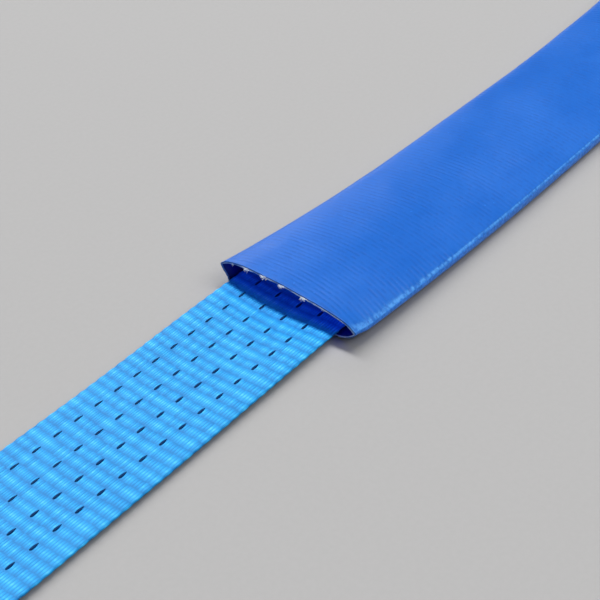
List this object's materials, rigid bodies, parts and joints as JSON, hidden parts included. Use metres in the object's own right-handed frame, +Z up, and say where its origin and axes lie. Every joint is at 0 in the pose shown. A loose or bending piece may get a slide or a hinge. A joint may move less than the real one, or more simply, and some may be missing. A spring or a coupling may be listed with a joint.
{
  "type": "flat web sling",
  "caption": "Flat woven lifting sling with a soft eye at each end, sewn splices and a loose coated wear sleeve that slides along the web.",
  "frame": {"origin": "middle of the sling's length and web width, on the plane that the sling lies on", "axes": "+X along the sling from end A (with the label) to end B, +Z up from the plane it lies on"},
  "size_m": [1.5076, 0.081, 0.0376],
  "materials": {
    "web": "woven polyester, slight sheen",
    "marker": "dark woven yarn",
    "thread": "twisted sewing thread",
    "pad": "woven polyester",
    "sleeve_cover": "glossy soft plastic over cross ribs",
    "sleeve_jacket": "circular woven yarn",
    "sleeve_lining": "thin soft plastic",
    "yarn": "frayed filament yarn",
    "label": "plain label cloth, blank",
    "label_cover": "clear film",
    "tape": "narrow woven tape"
  },
  "bodies": {
    "web": {"body_web": "web", "tail_a": "web", "tail_b": "web", "splice_stitching_a": "thread", "splice_stitching_b": "thread", "root_tack_a": "thread", "root_tack_b": "thread", "marker_yarn_1": "marker", "marker_yarn_2": "marker", "marker_yarn_3": "marker", "marker_yarn_4": "marker", "label_tape": "tape", "label_stitching": "thread"},
    "eye_a": {"eye_loop_a": "web", "eye_pad_a": "pad", "pad_stitching_a": "thread"},
    "eye_b": {"eye_loop_b": "web", "eye_pad_b": "pad", "pad_stitching_b": "thread"},
    "sleeve": {"sleeve_cover": "sleeve_cover", "sleeve_jacket": "sleeve_jacket", "sleeve_lining": "sleeve_lining", "yarn_ends_front": "yarn", "yarn_ends_rear": "yarn"},
    "label": {"label_sheet": "label", "label_cover": "label_cover"}
  },
  "joints": [
    {"name": "sleeve_slide", "type": "slide", "parent": "web", "child": "sleeve", "axis": [1, 0, 0], "range_m": [-0.22, 0.07]},
    {"name": "eye_a_fold", "type": "hinge", "parent": "web", "child": "eye_a", "pos_m": [-0.52, 0, 0.0044], "axis": [0, 1, 0], "range_deg": [0, 120]},
    {"name": "eye_b_fold", "type": "hinge", "parent": "web", "child": "eye_b", "pos_m": [0.52, 0, 0.0044], "axis": [0, -1, 0], "range_deg": [0, 120]},
    {"name": "label_flap", "type": "hinge", "parent": "web", "child": "label", "pos_m": [-0.374, 0, 0.0057], "axis": [0, 1, 0], "range_deg": [0, 80]}
  ]
}
